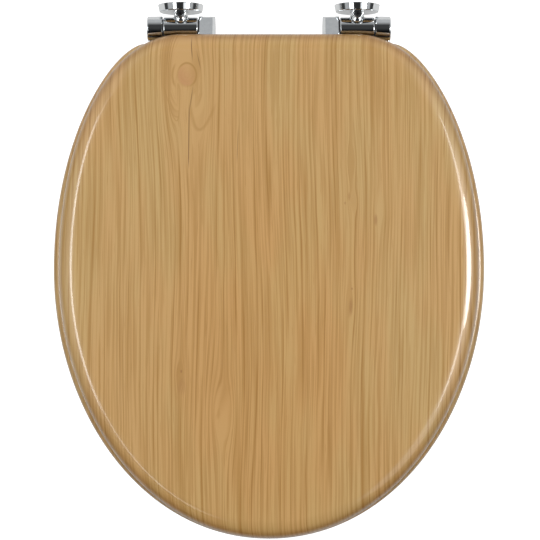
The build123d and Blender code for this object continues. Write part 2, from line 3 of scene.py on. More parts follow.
import bmesh
import bpy
from bpy.props import FloatProperty, FloatVectorProperty, PointerProperty
from bpy.types import Operator, Panel, PropertyGroup
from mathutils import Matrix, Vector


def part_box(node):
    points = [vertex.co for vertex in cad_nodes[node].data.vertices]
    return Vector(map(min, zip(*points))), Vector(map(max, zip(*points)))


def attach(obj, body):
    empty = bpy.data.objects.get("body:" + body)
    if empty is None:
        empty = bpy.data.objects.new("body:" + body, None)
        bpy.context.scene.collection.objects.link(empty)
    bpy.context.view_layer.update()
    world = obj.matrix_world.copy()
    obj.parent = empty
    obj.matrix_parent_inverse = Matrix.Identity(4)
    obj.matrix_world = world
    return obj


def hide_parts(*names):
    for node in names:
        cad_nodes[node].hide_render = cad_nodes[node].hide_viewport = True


bl_info = {
    "name": "Toilet Seat",
    "version": (1, 0, 0),
    "blender": (4, 5, 0),
    "location": "View3D > Sidebar > Toilet Seat",
    "description": "Models the wooden panels of a toilet seat and finishes its hinges",
    "category": "Object",
}

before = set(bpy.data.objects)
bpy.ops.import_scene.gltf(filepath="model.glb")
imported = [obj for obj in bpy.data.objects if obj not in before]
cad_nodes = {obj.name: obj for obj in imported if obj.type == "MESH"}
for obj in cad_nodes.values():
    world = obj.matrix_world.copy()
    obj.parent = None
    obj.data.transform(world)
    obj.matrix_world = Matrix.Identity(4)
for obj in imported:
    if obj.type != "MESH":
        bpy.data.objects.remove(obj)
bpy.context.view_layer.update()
lid_low, lid_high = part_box("lid")
ring_low, ring_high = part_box("seat_ring")

SIDES = ("left", "right")
# Fineness of the meshes
OUTLINE_STEPS = 44
TOP_ROUND_STEPS = 14
SHOULDER_STEPS = 24
UNDER_ROUND_STEPS = 6
SCREW_SIDES = 40
# How near a height has to be, the least angle of a sharp edge, the profile of a round bevel, and the weight
# of broad faces in smooth shading
HEIGHT_MATCH = 1e-6
SHARP_ANGLE = 1.0
ROUND_PROFILE = 0.5
BROAD_FACE_WEIGHT = 100
# Screws: turn from one to the next, crease angle, taper of the recess, round of a pan head, and the width
# that is left at a point and at a blunt end
SCREW_TURN = 0.7
SCREW_CREASE = 0.6
RECESS_TAPER = 0.6
PAN_ROUND = 0.0009
POINT_NARROWING = 0.25
END_NARROWING = 0.5
# Lacquer: coat and its roughness on the lid and the ring, its index, and how far the ring's grain is moved
LID_COAT = (1.0, 0.04)
RING_COAT = (0.8, 0.2)
LACQUER_IOR = 1.5
RING_GRAIN_ASIDE = 0.63
# Places of a Mix node's colour sockets, whose names repeat, and the middle of every noise
MIX_UNDER = 6
MIX_OVER = 7
MIX_RESULT = 2
NOISE_MIDDLE = 0.5
# Bumps: strength on the wood, and depth on every finish
WOOD_BUMP = 0.04
BUMP_DEPTH = 0.0002
# Fine marks: detail, the noise that turns light into dark, and the noise that turns smooth into rough
MARK_DETAIL = 4.0
MARK_SHARE = (0.35, 0.7)
MARK_ROUGHNESS = (0.3, 0.75)
# Marks of the finishes: how many in a metre, least and most roughness, metallic and strength of the bump
CHROME_MARKS = (260.0, 0.04, 0.09, 1.0, 0.02)
STEEL_MARKS = (900.0, 0.22, 0.36, 1.0, 0.1)
BLACK_STEEL_MARKS = (900.0, 0.3, 0.45, 1.0, 0.1)
ZINC_MARKS = (800.0, 0.25, 0.4, 1.0, 0.1)
RUBBER_MARKS = (1400.0, 0.55, 0.75, 0.0, 0.3)
PLASTIC_MARKS = (1100.0, 0.35, 0.5, 0.0, 0.15)
BUFFER_MARKS = (700.0, 0.45, 0.6, 0.0, 0.15)
# Share of its colour that a finish keeps in its darker marks
STEEL_SHADE = 0.8
BLACK_STEEL_SHADE = 0.6
ZINC_SHADE = 0.8
RUBBER_SHADE = 0.7
PLASTIC_SHADE = 0.75
BUFFER_SHADE = 0.88
# Lights: places, sizes and colours
LIGHT_HEIGHT = 1.45
KEY_PLACE = (1.42, 0.01, LIGHT_HEIGHT)
KEY_SIZE = (0.86, 0.6)
STRIP_ASIDE = 1.0
STRIP_SIZE = (0.3, 1.2)
TOP_PLACE = (0.0, 0.9, 5.0)
TOP_SIZE = (3.4, 2.6)
WARM_WHITE = (1.0, 0.985, 0.96)
COOL_WHITE = (0.96, 0.985, 1.0)
# Floor: width, roughness, glow towards the camera, and glow in reflections as it begins along Y
FLOOR_SIZE = 24.0
FLOOR_ROUGHNESS = 0.8
FLOOR_GLOW = 0.95
MIRRORED_GLOW = (-0.6, -0.05, 0.0, 0.3)
# Sky, by direction, with X to the right, Y to the rear and Z up: colour and level. Each change in it has its
# start and end, then what is given at each if not 0 and 1
SKY_COLOUR = (0.97, 0.985, 1.0, 1.0)
SKY_LEVEL = 0.7
# Its dim overhead part: half width, half length, and where it ends in squares of these
OVERHEAD_WIDTH = 0.45
OVERHEAD_LENGTH = 0.72
OVERHEAD_END = (0.3, 1.6, 0.075, 1.0)
# Its dim parts low at both sides, with what is lost there, at the front and far at the rear
ASIDE_X = (0.86, 0.93)
ASIDE_Z = (0.3, 0.45, 1.0, 0.0)
ASIDE_LOSS = 0.9
FRONT_Y = (-0.6, 0.0, 0.02, 1.0)
REAR_Y = (0.6, 0.78, 1.0, 0.76)
# Its thin bright arc at the left, and its soft patch at the front right
SKY_ARC_RISE = (0.852, 0.862)
SKY_ARC_FALL = (0.888, 0.898, 3.5, 0.0)
SKY_ARC_Y = (0.2, 0.32, 1.0, 0.0)
SKY_ARC_X = (-0.3, -0.07, 1.0, 0.0)
PATCH_X = 0.45
PATCH_Y = -0.36
PATCH_END = (0.02, 0.06, 1.0, 0.0)
# Camera: its place over the seat and its lens
CAMERA_PLACE = (0.0009, 0.0016)
CAMERA_LENS = 122.67
SENSOR_WIDTH = 36.0


def length_prop(name, description, default):
    """A length that a user may change, in metres."""
    return FloatProperty(
        name=name, description=description, default=default, unit="LENGTH", subtype="DISTANCE"
    )


def colour_prop(name, description, default):
    """A linear colour that a user may change."""
    return FloatVectorProperty(
        name=name, description=description, default=default, size=4, min=0.0, max=1.0, subtype="COLOR"
    )


def level_prop(name, description, default):
    """A light's radiance that a user may change."""
    return FloatProperty(name=name, description=description, default=default, min=0.0)


# Names and descriptions that the three outlines share
REAR_FLAT = ("Rear flat", "Straight stretch along the rear")
REAR_PULL = ("Rear pull", "Handle at the rear corner")
SIDE_REAR_PULL = ("Side pull to the rear", "Handle at the side, to the rear")
SIDE_FRONT_PULL = ("Side pull to the front", "Handle at the side, to the front")
FRONT_PULL = ("Front pull", "Handle at the front")


class SeatLidShape(PropertyGroup):
    """Outline and edges of the lid."""

    rear_flat: length_prop(*REAR_FLAT, 0.1516)
    wide_y: length_prop("Widest place", "Where the lid is widest, along Y", 0.002)
    rear_pull: length_prop(*REAR_PULL, 0.0625)
    side_rear_pull: length_prop(*SIDE_REAR_PULL, 0.1194)
    side_front_pull: length_prop(*SIDE_FRONT_PULL, 0.1245)
    front_pull: length_prop(*FRONT_PULL, 0.107)
    shoulder_width: length_prop("Shoulder width", "How far the top round reaches in", 0.0165)
    shoulder_height: length_prop("Shoulder height", "How far the top round reaches down", 0.011)
    under_round: length_prop("Under round", "Radius along the lower edge", 0.0025)


class SeatRingShape(PropertyGroup):
    """Outline and edges of the ring."""

    rear_flat: length_prop(*REAR_FLAT, 0.2156)
    wide_y: length_prop("Widest place", "Where the ring is widest, along Y", 0.002)
    rear_pull: length_prop(*REAR_PULL, 0.0268)
    side_rear_pull: length_prop(*SIDE_REAR_PULL, 0.1218)
    side_front_pull: length_prop(*SIDE_FRONT_PULL, 0.1254)
    front_pull: length_prop(*FRONT_PULL, 0.1117)
    top_round: length_prop("Top round", "Radius along the top edges", 0.006)
    under_round: length_prop("Under round", "Radius along the lower edges", 0.0035)


class SeatOpeningShape(PropertyGroup):
    """Outline of the opening in the ring."""

    width: length_prop("Width", "Widest place across the opening", 0.226)
    front_rail: length_prop("Front rail", "Width of the ring at the front", 0.066)
    rear_rail: length_prop("Rear rail", "Width of the ring at the rear", 0.092)
    rear_flat: length_prop(*REAR_FLAT, 0.04)
    wide_y: length_prop("Widest place", "Where the opening is widest, along Y", 0.012)
    rear_pull: length_prop(*REAR_PULL, 0.048)
    side_rear_pull: length_prop(*SIDE_REAR_PULL, 0.058)
    side_front_pull: length_prop(*SIDE_FRONT_PULL, 0.092)
    front_pull: length_prop(*FRONT_PULL, 0.074)


class SeatScrewShape(PropertyGroup):
    """Sizes of the screws under the lid and the ring."""

    arm_head: length_prop("Arm screw head", "Radius of a countersunk head", 0.0036)
    arm_shank: length_prop("Arm screw shank", "Radius of a countersunk screw's shank", 0.0019)
    arm_tip: length_prop("Arm screw tip", "Length of a countersunk screw's point", 0.0025)
    buffer_head: length_prop("Buffer screw head", "Radius of a pan head", 0.0032)
    buffer_head_height: length_prop("Buffer screw head height", "Height of a pan head", 0.002)
    buffer_shank: length_prop("Buffer screw shank", "Radius of a pan-head screw's shank", 0.0016)
    recess_width: length_prop("Recess width", "Width of each arm of the cross recess", 0.0009)
    recess_length: length_prop("Recess length", "Length of each arm of the cross recess", 0.0038)
    recess_depth: length_prop("Recess depth", "Depth of the cross recess", 0.0012)


class SeatWoodLook(PropertyGroup):
    """Colours and scale of the wood."""

    light: colour_prop("Light wood", "The palest wood between the lines", (0.534, 0.352, 0.143, 1.0))
    blush: colour_prop("Blush", "The warmer wood in broad bands", (0.55, 0.332, 0.131, 1.0))
    line: colour_prop("Line", "The darker late wood of each line", (0.372, 0.199, 0.051, 1.0))
    knot: colour_prop("Knot", "The reddish heart of the knots", (0.51, 0.268, 0.114, 1.0))
    heart: colour_prop("Heartwood", "Tint of the deeper wood in the middle", (1.0, 0.944, 0.868, 1.0))
    spacing: length_prop("Line spacing", "Mean distance between two lines", 0.0048)


class SeatMetalLook(PropertyGroup):
    """Colours of the metal, rubber and plastic pieces."""

    chrome: colour_prop("Chrome", "Bright chrome plate", (0.8, 0.82, 0.83, 1.0))
    chrome_dull: colour_prop("Chrome haze", "Chrome where it is slightly hazy", (0.765, 0.785, 0.797, 1.0))
    zinc: colour_prop("Zinc", "Zinc plate on the screws", (0.62, 0.63, 0.65, 1.0))
    steel: colour_prop("Steel", "Ground steel of pins and shafts", (0.5, 0.5, 0.52, 1.0))
    black_steel: colour_prop("Black steel", "Blackened lock screws", (0.08, 0.08, 0.085, 1.0))
    rubber: colour_prop("Rubber", "Black gaskets and seals", (0.028, 0.028, 0.03, 1.0))
    plastic: colour_prop("Plastic", "Black moulded dampers and bushes", (0.04, 0.04, 0.044, 1.0))
    buffer: colour_prop("Buffer", "Soft pale grey pads", (0.72, 0.72, 0.7, 1.0))


class SeatStudio(PropertyGroup):
    """Camera, lights and floor."""

    camera_height: length_prop("Camera height", "Height of the camera over the floor", 1.64)
    floor: colour_prop("Floor", "Plain pale floor", (0.42, 0.42, 0.42, 1.0))
    key_level: level_prop("Key level", "Radiance of the light at the right", 16.0)
    strip_level: level_prop("Strip level", "Radiance of the strip lights at both sides", 6.0)
    top_level: level_prop("Top level", "Radiance of the light over the rear, unseen in reflections", 6.8)


def start_clean():
    """Leaves edit mode and selects nothing."""
    if bpy.context.object and bpy.context.object.mode != "OBJECT":
        bpy.ops.object.mode_set(mode="OBJECT")
    bpy.ops.object.select_all(action="DESELECT")


def egg_loop(half_width, rear_y, front_y, height, shape):
    """A closed loop of edges along an egg-shaped outline with a straight rear."""
    start_clean()
    bpy.ops.curve.primitive_bezier_circle_add(radius=half_width, location=(0, 0, 0))
    outline = bpy.context.object
    outline.data.dimensions = "3D"
    spline = outline.data.splines[0]
    spline.bezier_points.add(1)
    spline.resolution_u = OUTLINE_STEPS
    flat = shape.rear_flat / 2
    third = shape.rear_flat / 6
    rear_side_y = shape.wide_y + shape.side_rear_pull
    front_side_y = shape.wide_y - shape.side_front_pull
    corners = (
        ((-flat, rear_y), (-flat - shape.rear_pull, rear_y), (-third, rear_y)),
        ((flat, rear_y), (third, rear_y), (flat + shape.rear_pull, rear_y)),
        ((half_width, shape.wide_y), (half_width, rear_side_y), (half_width, front_side_y)),
        ((0, front_y), (shape.front_pull, front_y), (-shape.front_pull, front_y)),
        ((-half_width, shape.wide_y), (-half_width, front_side_y), (-half_width, rear_side_y)),
    )
    for point, (place, before, after) in zip(spline.bezier_points, corners):
        point.handle_left_type = "FREE"
        point.handle_right_type = "FREE"
        point.co = (*place, height)
        point.handle_left = (*before, height)
        point.handle_right = (*after, height)
    bpy.ops.object.convert(target="MESH")
    return bpy.context.object


def round_rims(height, radius, steps):
    """Rounds the sharp edges at a height of the mesh in edit mode."""
    bpy.ops.mesh.select_mode(type="EDGE")
    bpy.ops.mesh.select_all(action="DESELECT")
    mesh = bmesh.from_edit_mesh(bpy.context.object.data)
    for edge in mesh.edges:
        level = all(abs(corner.co.z - height) < HEIGHT_MATCH for corner in edge.verts)
        if level and len(edge.link_faces) == 2 and edge.calc_face_angle(0.0) > SHARP_ANGLE:
            edge.select = True
    bmesh.update_edit_mesh(bpy.context.object.data)
    bpy.ops.mesh.bevel(
        offset_type="OFFSET",
        offset=radius,
        segments=steps,
        profile=ROUND_PROFILE,
        affect="EDGES",
        clamp_overlap=False,
    )


def select_level_faces(height):
    """Selects the faces at a height of the mesh in edit mode."""
    bpy.ops.mesh.select_mode(type="FACE")
    bpy.ops.mesh.select_all(action="DESELECT")
    mesh = bmesh.from_edit_mesh(bpy.context.object.data)
    for face in mesh.faces:
        face.select = all(abs(corner.co.z - height) < HEIGHT_MATCH for corner in face.verts)
    bmesh.update_edit_mesh(bpy.context.object.data)


def raise_shoulder(width, height):
    """Raises the selected face in rings along a quarter of an ellipse."""
    angles = [math.pi / 2 * step / SHOULDER_STEPS for step in range(SHOULDER_STEPS + 1)]
    for low, high in zip(angles, angles[1:]):
        bpy.ops.mesh.inset(
            thickness=width * (math.cos(low) - math.cos(high)),
            depth=height * (math.sin(high) - math.sin(low)),
        )


def smooth_panel(panel):
    """Smooth shading that leaves the broad faces flat."""
    bpy.ops.object.mode_set(mode="OBJECT")
    bpy.ops.object.shade_smooth()
    weighted = panel.modifiers.new("even_normals", "WEIGHTED_NORMAL")
    weighted.weight = BROAD_FACE_WEIGHT
    bpy.ops.object.modifier_apply(modifier=weighted.name)


def add_node(tree, kind, **settings):
    """A new node with the given settings."""
    node = tree.nodes.new(kind)
    for key, value in settings.items():
        setattr(node, key, value)
    return node


def feed(tree, socket, value):
    """Links a socket into another, or sets its value."""
    if isinstance(value, bpy.types.NodeSocket):
        tree.links.new(value, socket)
    else:
        socket.default_value = value


def calc(tree, operation, *values):
    """A Math node's result."""
    node = add_node(tree, "ShaderNodeMath", operation=operation)
    for socket, value in zip(node.inputs, values):
        feed(tree, socket, value)
    return node.outputs[0]


def times(tree, first, second):
    """Two values multiplied."""
    return calc(tree, "MULTIPLY", first, second)


def squares(tree, first, second):
    """The sum of two values' squares."""
    return calc(tree, "MULTIPLY_ADD", first, first, times(tree, second, second))


def ease(tree, value, low, high, to_low=0.0, to_high=1.0):
    """A value brought smoothly from one range to another."""
    node = add_node(tree, "ShaderNodeMapRange", interpolation_type="SMOOTHSTEP")
    for name, given in (
        ("Value", value),
        ("From Min", low),
        ("From Max", high),
        ("To Min", to_low),
        ("To Max", to_high),
    ):
        feed(tree, node.inputs[name], given)
    return node.outputs["Result"]


def stripe(tree, value, rise, fall):
    """A value's share between a rise and a fall."""
    return times(tree, ease(tree, value, *rise), ease(tree, value, *fall))


def tint(tree, share, under, over, blend="MIX"):
    """One colour laid over another by a share."""
    node = add_node(tree, "ShaderNodeMix", data_type="RGBA", blend_type=blend)
    feed(tree, node.inputs["Factor"], share)
    feed(tree, node.inputs[MIX_UNDER], under)
    feed(tree, node.inputs[MIX_OVER], over)
    return node.outputs[MIX_RESULT]


def streaks(tree, across, along, across_scale, along_scale, detail, roughness=0.55):
    """Noise drawn out along the grain, from 0 to 1."""
    place = add_node(tree, "ShaderNodeCombineXYZ")
    feed(tree, place.inputs["X"], times(tree, across, across_scale))
    feed(tree, place.inputs["Y"], times(tree, along, along_scale))
    noise = add_node(tree, "ShaderNodeTexNoise", noise_dimensions="2D")
    feed(tree, noise.inputs["Vector"], place.outputs["Vector"])
    noise.inputs["Scale"].default_value = 1.0
    noise.inputs["Detail"].default_value = detail
    noise.inputs["Roughness"].default_value = roughness
    return noise.outputs["Fac"]


def sockets(kind, *names):
    """Names of a group's sockets, each with its kind."""
    return [(name, "NodeSocket" + kind) for name in names]


FINISH_OUTPUTS = sockets("Color", "Color") + sockets("Float", "Roughness", "Height")
KNOT_SOCKETS = ("Knot Across", "Knot Along", "Radius", "Stretch")


def new_group(name, inputs, outputs):
    """A shader node group with its sockets, and its two end nodes."""
    group = bpy.data.node_groups.new(name, "ShaderNodeTree")
    for socket_name, socket_type in inputs:
        group.interface.new_socket(name=socket_name, in_out="INPUT", socket_type=socket_type)
    for socket_name, socket_type in outputs:
        group.interface.new_socket(name=socket_name, in_out="OUTPUT", socket_type=socket_type)
    start = group.nodes.new("NodeGroupInput")
    end = group.nodes.new("NodeGroupOutput")
    return group, start.outputs, end.inputs


# Share of the grain that a knot pushes aside
KNOT_PUSH = 0.86
# Knots of the lid: across, along, radius and how far the grain is drawn out past each
LID_KNOTS = (
    (-0.0715, 0.1710, 0.0120, 3.0),
    (-0.0815, 0.1480, 0.0040, 4.5),
    (-0.0610, 0.1400, 0.0050, 3.6),
    (-0.0770, -0.0890, 0.0030, 3.5),
    (-0.0400, -0.1220, 0.0070, 3.4),
    (0.0715, 0.0960, 0.0028, 4.5),
    (0.0735, 0.0600, 0.0026, 3.0),
    (0.0960, 0.0520, 0.0024, 3.2),
    (0.0700, -0.0300, 0.0026, 5.0),
)
# The heart of the large knot: half its width and half its length
HEART_ACROSS = 0.0085
HEART_ALONG = 0.0105
# Fine cracks by the large knot: across, lean, near end, far end and depth of tone
LID_CRACKS = (
    (-0.0698, 0.012, 0.0880, 0.1480, 0.85),
    (-0.0692, 0.140, 0.1370, 0.1640, 0.70),
    (-0.0660, -0.080, 0.1800, 0.2080, 0.85),
    (-0.0585, -0.210, 0.1720, 0.1940, 0.65),
    (-0.0280, 0.045, 0.0918, 0.1290, 0.45),
)
# Pointed loops of the grain under the large knot: across, along, lean, pull, length, half width and depth
LID_LOOPS = (
    (-0.0801, 0.1310, -0.143, 705.0, 0.0360, 0.0008, 0.50),
    (-0.0604, 0.1232, 0.140, 191.0, 0.0260, 0.0024, 0.45),
)
# The clear wood under the large knot: across, along, half its width and half its length
LID_CLEAR = (-0.0716, 0.1270, 0.0155, 0.0450)
# The deeper heartwood in the middle: across, along, half its width and half its length
LID_HEARTWOOD = (0.0, -0.08, 0.11, 0.22)
# Small reddish specks: across, along, half width, half length and depth of tone
LID_SPECKS = (
    (-0.0760, -0.0863, 0.0011, 0.0017, 0.90),
    (-0.0755, -0.0990, 0.0045, 0.0100, 0.30),
    (0.0926, 0.0451, 0.0020, 0.0062, 0.55),
    (0.0720, -0.0146, 0.0009, 0.0013, 0.80),
    (0.0710, -0.0305, 0.0020, 0.0090, 0.50),
    (0.0660, 0.0596, 0.0010, 0.0016, 0.55),
    (0.0695, 0.0655, 0.0014, 0.0045, 0.40),
)
# Their colour, and where each fades out in shares of its half size
SPECK_COLOUR = (0.34, 0.165, 0.058, 1.0)
SPECK_FADE = (0.3, 1.1)
# Colour, half width and taper of the cracks
CRACK_COLOUR = (0.15, 0.07, 0.02, 1.0)
CRACK_WIDTH = 0.0007
CRACK_TAPER = 0.012
# Painted shade on the rounded front and rear edges, darker below the top: its tint
PAINTED_SHADE_TINT = (0.78, 0.7, 0.6, 1.0)
# Noises of the grain: changes in a metre across and along, detail and, if not the usual one, roughness
SWAY = (7.0, 2.4, 1.0)
RIPPLE = (34.0, 15.0, 1.0)
ZONE = (22.0, 5.0, 2.0)
STRENGTH = (130.0, 2.6, 1.0)
BAND = (60.0, 1.1, 1.0)
DRIFT = (45.0, 0.6, 2.0)
FIBRE = (200.0, 2.4, 3.0, 0.9)
THREAD = (500.0, 9.0, 1.0)
PORE = (950.0, 34.0, 1.0)
# How far the sway and the ripples move the grain, the drift its lines, and how it leans with the height
SWAY_REACH = 0.018
RIPPLE_REACH = 0.0012
DRIFT_TURNS = 5.0
HEIGHT_LEAN = 0.25
# Changes in the wood, and the painted shade on its edges: start and end, then what is given at each if not 0
# and 1
LINE_RISE = (0.6, 0.8)
LINE_FALL = (0.82, 0.96, 1.0, 0.0)
LINE_DEPTH = (0.3, 0.64, 0.1, 0.6)
FIBRE_DEPTH = (0.3, 0.72, 0.0, 0.29)
THREAD_DEPTH = (0.36, 0.66, -0.2, 0.32)
BAND_DEPTH = (0.6, 0.74, 0.0, 0.24)
PORE_DEPTH = (0.68, 0.8, 0.0, 0.4)
BLUSH_SHARE = (0.36, 0.62)
CLEAR_SHARE = (0.5, 1.1, 0.35, 1.0)
HEARTWOOD_FADE = (0.3, 1.2, 1.0, 0.0)
FIBRE_ROUGHNESS = (0.2, 0.8, 0.3, 0.42)
# Painted shade on the rounded edges: how far below the top, and how it grows towards the front and rear
PAINTED_SHADE_DEPTH = (-0.0045, -0.0008, 1.0, 0.0)
PAINTED_SHADE_ALONG = (0.06, 0.19, 0.2, 1.0)
# The same for the large knot's heart, its rim and the arc beside it, then its wobble and its rings
HEART_FADE = (0.8, 1.04, 0.85, 0.0)
HEART_SHADE = (-0.9, 0.9, 1.0, 0.3)
RIM_RISE = (0.84, 0.98)
RIM_FALL = (0.99, 1.12, 1.0, 0.0)
RIM_SHADE = (-0.9, 0.4, 0.15, 0.75)
ARC_RISE = (1.3, 1.46)
ARC_FALL = (1.48, 1.66, 1.0, 0.0)
ARC_SIDE = (-1.35, -1.0, 0.6, 0.0)
HEART_WOBBLE = 0.35
HEART_RINGS = 3.0
HEART_RING_DEPTH = 0.2


def grain_past_knot_group():
    """How far the grain is pushed aside by a knot, as water by a stone."""
    inputs = sockets("Float", "Across", "Along", *KNOT_SOCKETS)
    group, given, result = new_group("grain_past_knot", inputs, sockets("Float", "Shift"))
    off_across = calc(group, "SUBTRACT", given["Across"], given["Knot Across"])
    off_along = calc(group, "SUBTRACT", given["Along"], given["Knot Along"])
    off_along = calc(group, "DIVIDE", off_along, given["Stretch"])
    distance_2 = squares(group, off_across, off_along)
    radius_2 = times(group, given["Radius"], given["Radius"])
    share = calc(group, "DIVIDE", radius_2, calc(group, "MAXIMUM", distance_2, radius_2))
    shift = times(group, off_across, share)
    feed(group, result["Shift"], times(group, shift, -KNOT_PUSH))
    return group


def crack_mask(tree, across, along, crack):
    """A thin dark line that fades out at its ends."""
    middle, lean, near, far, depth = crack
    line = calc(tree, "MULTIPLY_ADD", calc(tree, "SUBTRACT", along, near), lean, middle)
    off = calc(tree, "ABSOLUTE", calc(tree, "SUBTRACT", across, line))
    mask = ease(tree, off, 0.0, CRACK_WIDTH, depth, 0.0)
    mask = times(tree, mask, ease(tree, along, near, near + CRACK_TAPER))
    return times(tree, mask, ease(tree, along, far - CRACK_TAPER, far, 1.0, 0.0))


def loop_mask(tree, across, along, loop):
    """A line along a pointed loop that opens towards the knot and fades out."""
    middle, tip, lean, pull, length, half_width, depth = loop
    past = calc(tree, "SUBTRACT", along, tip)
    off = calc(tree, "SUBTRACT", across, calc(tree, "MULTIPLY_ADD", past, lean, middle))
    slope = times(tree, off, 2 * pull)
    steep = calc(tree, "SQRT", calc(tree, "MULTIPLY_ADD", slope, slope, 1.0))
    gap = calc(tree, "SUBTRACT", past, times(tree, times(tree, off, off), pull))
    gap = calc(tree, "DIVIDE", calc(tree, "ABSOLUTE", gap), steep)
    mask = ease(tree, gap, 0.0, half_width, depth, 0.0)
    return times(tree, mask, ease(tree, past, length / 2, length, 1.0, 0.0))


def oval_reach(tree, across, along, oval):
    """Distance from the middle of an oval, 1 along its edge."""
    middle_across, middle_along, half_width, half_length = oval
    off_across = calc(tree, "DIVIDE", calc(tree, "SUBTRACT", across, middle_across), half_width)
    off_along = calc(tree, "DIVIDE", calc(tree, "SUBTRACT", along, middle_along), half_length)
    return calc(tree, "SQRT", squares(tree, off_across, off_along)), off_across, off_along


def wobble(tree, value, noise, reach):
    """A value moved to and fro by a noise."""
    return calc(tree, "MULTIPLY_ADD", calc(tree, "SUBTRACT", noise, NOISE_MIDDLE), reach, value)


def bend_past_knots(tree, bend, across, along):
    """The grain's place across, pushed aside by every knot."""
    bent = across
    for knot in LID_KNOTS:
        past = add_node(tree, "ShaderNodeGroup", node_tree=bend)
        feed(tree, past.inputs["Across"], across)
        feed(tree, past.inputs["Along"], along)
        for name, value in zip(KNOT_SOCKETS, knot):
            past.inputs[name].default_value = value
        bent = calc(tree, "ADD", bent, past.outputs["Shift"])
    return bent


def grain_darkness(tree, across, along, fibre, spacing):
    """How dark the wood is: late wood in lines, fibres, threads and broad bands."""
    drift = streaks(tree, across, along, *DRIFT)
    turn = calc(tree, "MULTIPLY_ADD", drift, DRIFT_TURNS, calc(tree, "DIVIDE", across, spacing))
    turn = calc(tree, "FRACT", turn)
    late = stripe(tree, turn, LINE_RISE, LINE_FALL)
    strength = streaks(tree, across, along, *STRENGTH)
    dark = times(tree, late, ease(tree, strength, *LINE_DEPTH))
    thread = streaks(tree, across, along, *THREAD)
    band = streaks(tree, across, along, *BAND)
    for noise, depth in ((fibre, FIBRE_DEPTH), (thread, THREAD_DEPTH), (band, BAND_DEPTH)):
        dark = calc(tree, "ADD", dark, ease(tree, noise, *depth))
    return dark


def knot_heart(tree, body, across, along, ripple, given):
    """The wood with the large knot's heart, its rings, a thin dark rim and an arc beside it."""
    oval = (*LID_KNOTS[0][:2], HEART_ACROSS, HEART_ALONG)
    reach, off_across, off_along = oval_reach(tree, across, along, oval)
    reach = wobble(tree, reach, ripple, HEART_WOBBLE)
    side = calc(tree, "ADD", off_across, off_along)
    heart = times(tree, ease(tree, reach, *HEART_FADE), ease(tree, side, *HEART_SHADE))
    rim = stripe(tree, reach, RIM_RISE, RIM_FALL)
    rim = times(tree, rim, ease(tree, side, *RIM_SHADE))
    arc = stripe(tree, reach, ARC_RISE, ARC_FALL)
    arc = times(tree, arc, ease(tree, off_across, *ARC_SIDE))
    rings = calc(tree, "FRACT", times(tree, reach, HEART_RINGS))
    rings = times(tree, times(tree, rings, HEART_RING_DEPTH), heart)
    body = tint(tree, heart, body, given["Knot"])
    body = tint(tree, rings, body, given["Line"])
    return tint(tree, calc(tree, "MAXIMUM", rim, arc), body, given["Line"])


def small_marks(tree, body, across, along, line):
    """The wood with its specks, pointed loops and fine cracks."""
    for *speck, depth in LID_SPECKS:
        reach = oval_reach(tree, across, along, speck)[0]
        body = tint(tree, ease(tree, reach, *SPECK_FADE, depth, 0.0), body, SPECK_COLOUR)
    for loop in LID_LOOPS:
        body = tint(tree, loop_mask(tree, across, along, loop), body, line)
    for crack in LID_CRACKS:
        body = tint(tree, crack_mask(tree, across, along, crack), body, CRACK_COLOUR)
    return body


def pine_grain_group(bend):
    """Pine: broad bands, darker lines, fine fibres, short pores, knots, cracks and painted edge shade."""
    colours = sockets("Color", "Light", "Blush", "Line", "Knot", "Heartwood")
    inputs = sockets("Vector", "Vector") + colours + sockets("Float", "Spacing")
    group, given, result = new_group("pine_grain", inputs, FINISH_OUTPUTS)
    place = add_node(group, "ShaderNodeSeparateXYZ")
    feed(group, place.inputs["Vector"], given["Vector"])
    along = place.outputs["Y"]
    start = calc(group, "MULTIPLY_ADD", place.outputs["Z"], HEIGHT_LEAN, place.outputs["X"])
    ripple = streaks(group, start, along, *RIPPLE)
    across = bend_past_knots(group, bend, start, along)
    across = wobble(group, across, streaks(group, start, along, *SWAY), SWAY_REACH)
    across = wobble(group, across, ripple, RIPPLE_REACH)
    fibre = streaks(group, across, along, *FIBRE)
    dark = grain_darkness(group, across, along, fibre, given["Spacing"])
    clear = oval_reach(group, start, along, LID_CLEAR)[0]
    dark = times(group, dark, ease(group, clear, *CLEAR_SHARE))
    dark = calc(group, "MAXIMUM", dark, 0.0)
    dark = calc(group, "MINIMUM", dark, 1.0)
    dash = ease(group, streaks(group, across, along, *PORE), *PORE_DEPTH)
    blush = ease(group, streaks(group, across, along, *ZONE), *BLUSH_SHARE)
    body = tint(group, blush, given["Light"], given["Blush"])
    body = tint(group, dark, body, given["Line"])
    body = tint(group, dash, body, given["Line"])
    middle = ease(group, oval_reach(group, start, along, LID_HEARTWOOD)[0], *HEARTWOOD_FADE)
    body = tint(group, middle, body, given["Heartwood"], "MULTIPLY")
    body = knot_heart(group, body, start, along, ripple, given)
    body = small_marks(group, body, start, along, given["Line"])
    # Painted shade: the rounded edges darker below the top, most towards the front and rear
    painted_shade = ease(group, calc(group, "ABSOLUTE", along), *PAINTED_SHADE_ALONG)
    painted_shade = times(group, painted_shade, ease(group, place.outputs["Z"], *PAINTED_SHADE_DEPTH))
    feed(group, result["Color"], tint(group, painted_shade, body, PAINTED_SHADE_TINT, "MULTIPLY"))
    feed(group, result["Roughness"], ease(group, fibre, *FIBRE_ROUGHNESS))
    feed(group, result["Height"], calc(group, "ADD", dark, dash))
    return group


